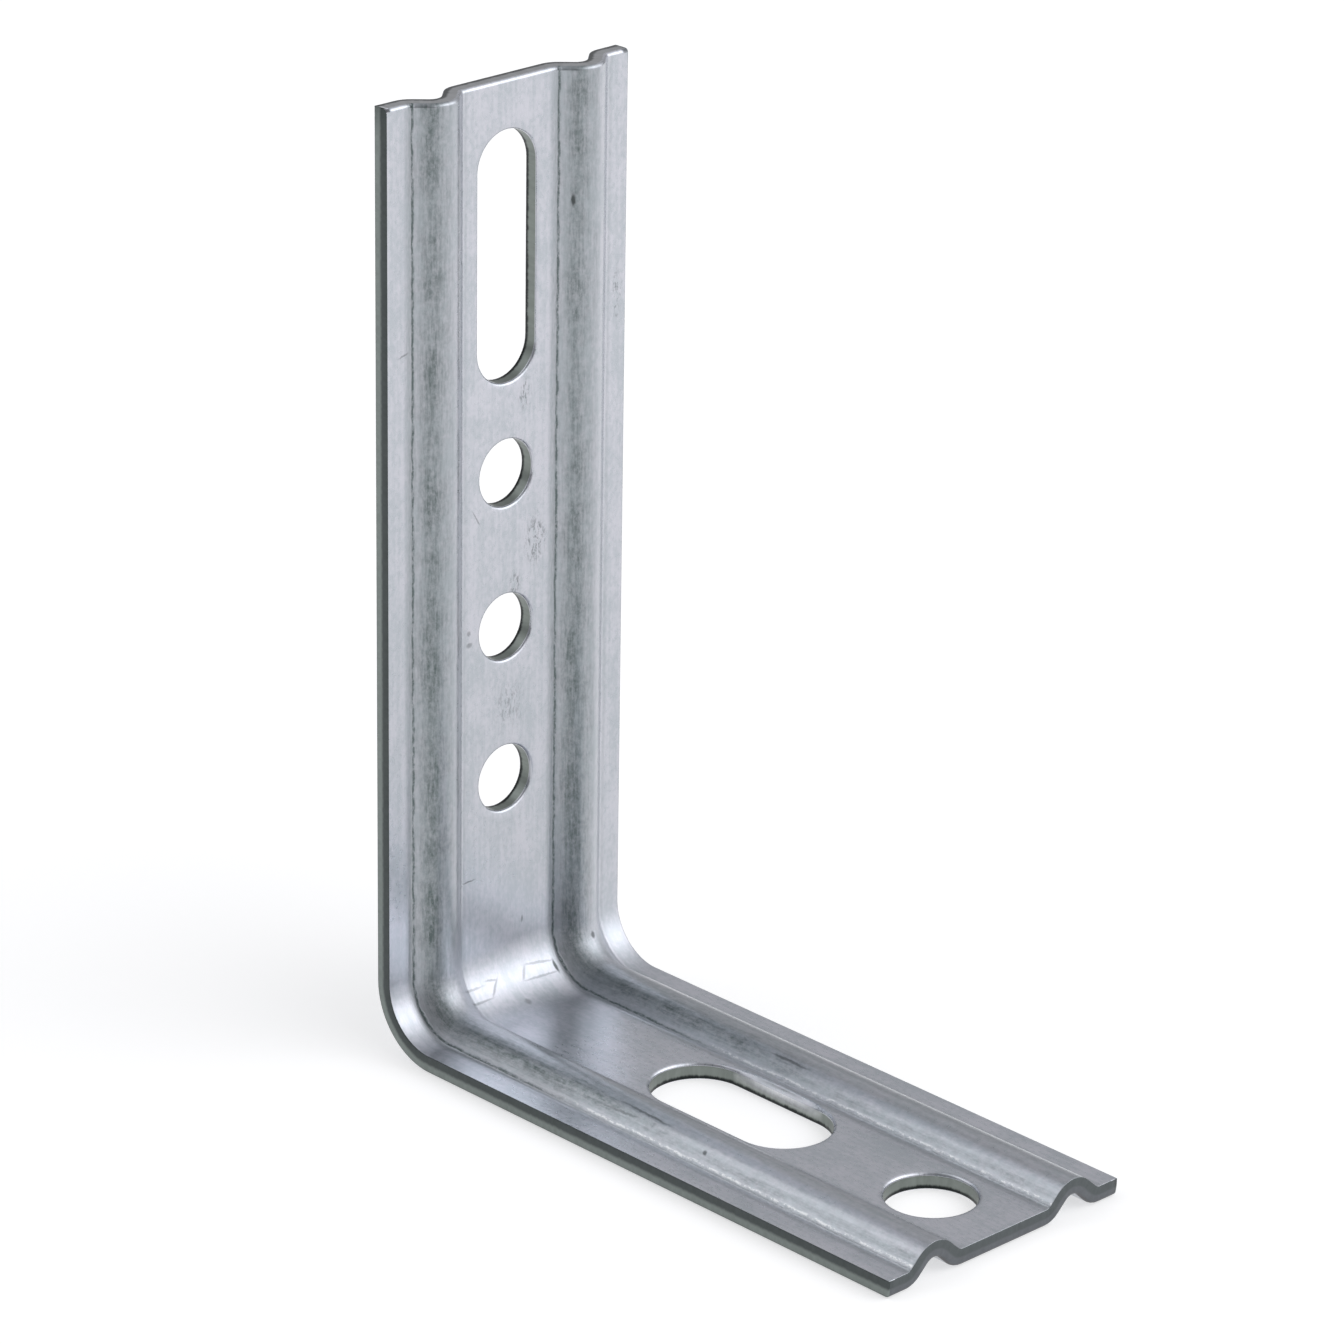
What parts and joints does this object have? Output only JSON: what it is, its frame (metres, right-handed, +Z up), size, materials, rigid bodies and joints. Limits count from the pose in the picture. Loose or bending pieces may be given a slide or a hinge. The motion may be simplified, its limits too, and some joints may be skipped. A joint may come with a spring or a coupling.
{
  "type": "angle bracket",
  "caption": "L-shaped bracket folded from a beaded zinc-coated steel strip, with slots and round holes along both legs for adjustable fixing.",
  "frame": {"origin": "middle of the bracket's outline seen from above, on the plane of the foot's underside", "axes": "+Z up along the wall leg, +X from the wall leg's back towards the foot's free end, +Y across the strip"},
  "size_m": [0.08, 0.035, 0.11],
  "materials": {
    "zinc_steel": "galvanised, with faint draw lines along the strip"
  },
  "bodies": {
    "root": {"angle_bracket": "zinc_steel"}
  },
  "joints": []
}
